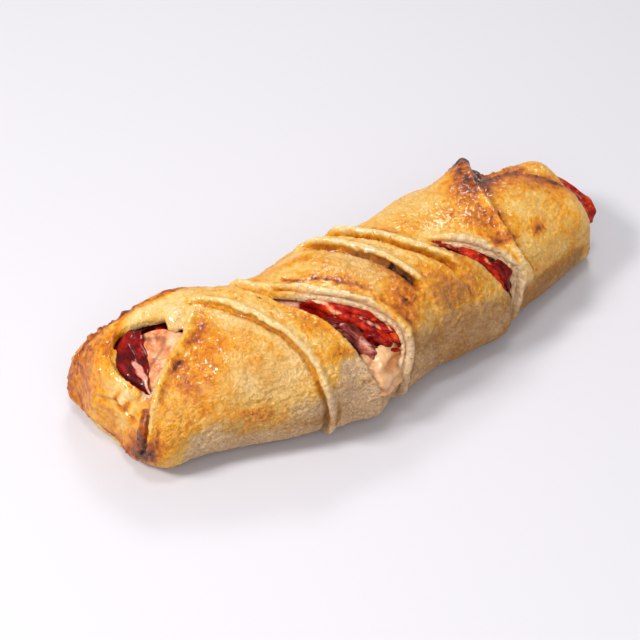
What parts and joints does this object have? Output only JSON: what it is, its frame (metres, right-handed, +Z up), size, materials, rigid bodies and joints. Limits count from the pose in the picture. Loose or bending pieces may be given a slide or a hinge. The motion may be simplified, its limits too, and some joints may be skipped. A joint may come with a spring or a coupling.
{
  "type": "baked stromboli",
  "caption": "Bent roll of browned dough strips folded over layers of cured ham and melted cheese, with openings along its top and an open end.",
  "frame": {"origin": "middle of the bounding box's underside, on the surface that the roll lies on", "axes": "+X along the roll from its folded end to its open end, +Y to its back, +Z up"},
  "size_m": [0.3066, 0.1188, 0.0635],
  "materials": {
    "dough": "golden-brown egg-washed crust, floury along its sides",
    "ham_upper": "dark red cured ham with white fat, glossy with melted fat",
    "ham_lower": "pale pink translucent ham and fat",
    "cheese": "pale melted cheese"
  },
  "bodies": {
    "root": {"dough": "dough", "ham_upper": "ham_upper", "ham_lower": "ham_lower", "cheese": "cheese"}
  },
  "joints": []
}
